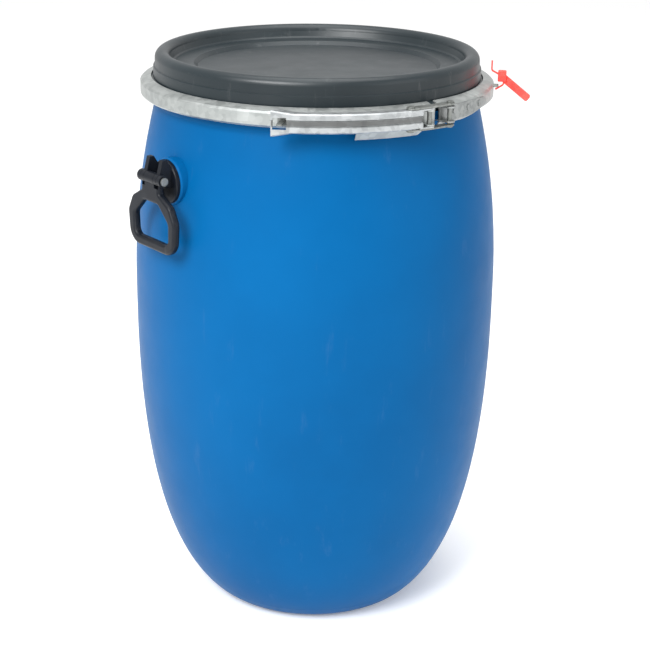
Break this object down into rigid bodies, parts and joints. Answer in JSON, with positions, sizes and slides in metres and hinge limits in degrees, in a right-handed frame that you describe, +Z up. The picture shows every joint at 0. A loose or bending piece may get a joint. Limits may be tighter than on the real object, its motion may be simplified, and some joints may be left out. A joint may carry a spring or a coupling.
{
  "type": "open head drum",
  "caption": "Tall barrel-shaped open head plastic drum with a deep lid, gasket, steel lever clamp band and two swinging bail handles.",
  "frame": {"origin": "middle of the base on the floor, on the drum's axis", "axes": "+Z up the drum's axis, the handles on +X and -X, the clasp of the clamp band on -Y"},
  "size_m": [0.5472, 0.5044, 0.785],
  "materials": {
    "blue_plastic": "satin",
    "lid_plastic": "satin",
    "black_plastic": "satin",
    "gasket_rubber": "matte",
    "galvanised_steel": "zinc plated",
    "zinc_steel": "zinc plated",
    "seal_plastic": "moulded"
  },
  "bodies": {
    "drum": {"drum_body": "blue_plastic", "handle_bracket_left": "black_plastic", "handle_bracket_right": "black_plastic", "handle_screw_left": "zinc_steel", "handle_screw_right": "zinc_steel", "handle_pin_left": "zinc_steel", "handle_pin_right": "zinc_steel"},
    "lid": {"lid": "lid_plastic", "lid_gasket": "gasket_rubber"},
    "band_left": {"clamp_band_left": "galvanised_steel", "lever_bracket": "galvanised_steel", "lever_bracket_rivets": "zinc_steel", "lever_pivot_pin": "zinc_steel", "lever_staple": "zinc_steel"},
    "band_right": {"clamp_band_right": "galvanised_steel", "hook_bracket": "galvanised_steel", "hook_bracket_rivets": "zinc_steel", "hook_pin": "zinc_steel", "seal_staple": "zinc_steel", "security_seal": "seal_plastic"},
    "lever": {"closing_lever": "galvanised_steel"},
    "link": {"toggle_link_upper": "zinc_steel", "toggle_link_lower": "zinc_steel", "link_pin": "zinc_steel"},
    "bail_left": {"handle_bail_left": "black_plastic"},
    "bail_right": {"handle_bail_right": "black_plastic"}
  },
  "joints": [
    {"name": "lid_lift", "type": "slide", "parent": "drum", "child": "lid", "axis": [0, 0, 1], "range_m": [0, 0.3]},
    {"name": "band_left_open", "type": "hinge", "parent": "lid", "child": "band_left", "pos_m": [0, 0.2379, 0.7382], "axis": [0, 0, -1], "range_deg": [0, 2.4]},
    {"name": "band_right_open", "type": "hinge", "parent": "lid", "child": "band_right", "pos_m": [0, 0.2379, 0.7382], "axis": [0, 0, 1], "range_deg": [0, 2.4]},
    {"name": "lever_swing", "type": "hinge", "parent": "band_left", "child": "lever", "pos_m": [-0.02242, -0.24638, 0.7382], "axis": [0, 0, 1], "range_deg": [0, 160]},
    {"name": "link_swing", "type": "hinge", "parent": "lever", "child": "link", "pos_m": [-0.04914, -0.24247, 0.7382], "axis": [0, 0, -1], "range_deg": [0, 160]},
    {"name": "handle_left_swing", "type": "hinge", "parent": "drum", "child": "bail_left", "pos_m": [-0.26611, 0, 0.648], "axis": [0, 1, 0], "range_deg": [-4, 105]},
    {"name": "handle_right_swing", "type": "hinge", "parent": "drum", "child": "bail_right", "pos_m": [0.26611, 0, 0.648], "axis": [0, -1, 0], "range_deg": [-4, 105]}
  ],
  "couplings": [
    {"joint": "band_left_open", "follows": "lever_swing", "ratio": 0.015},
    {"joint": "band_right_open", "follows": "lever_swing", "ratio": 0.015},
    {"joint": "link_swing", "follows": "lever_swing", "ratio": 1}
  ]
}
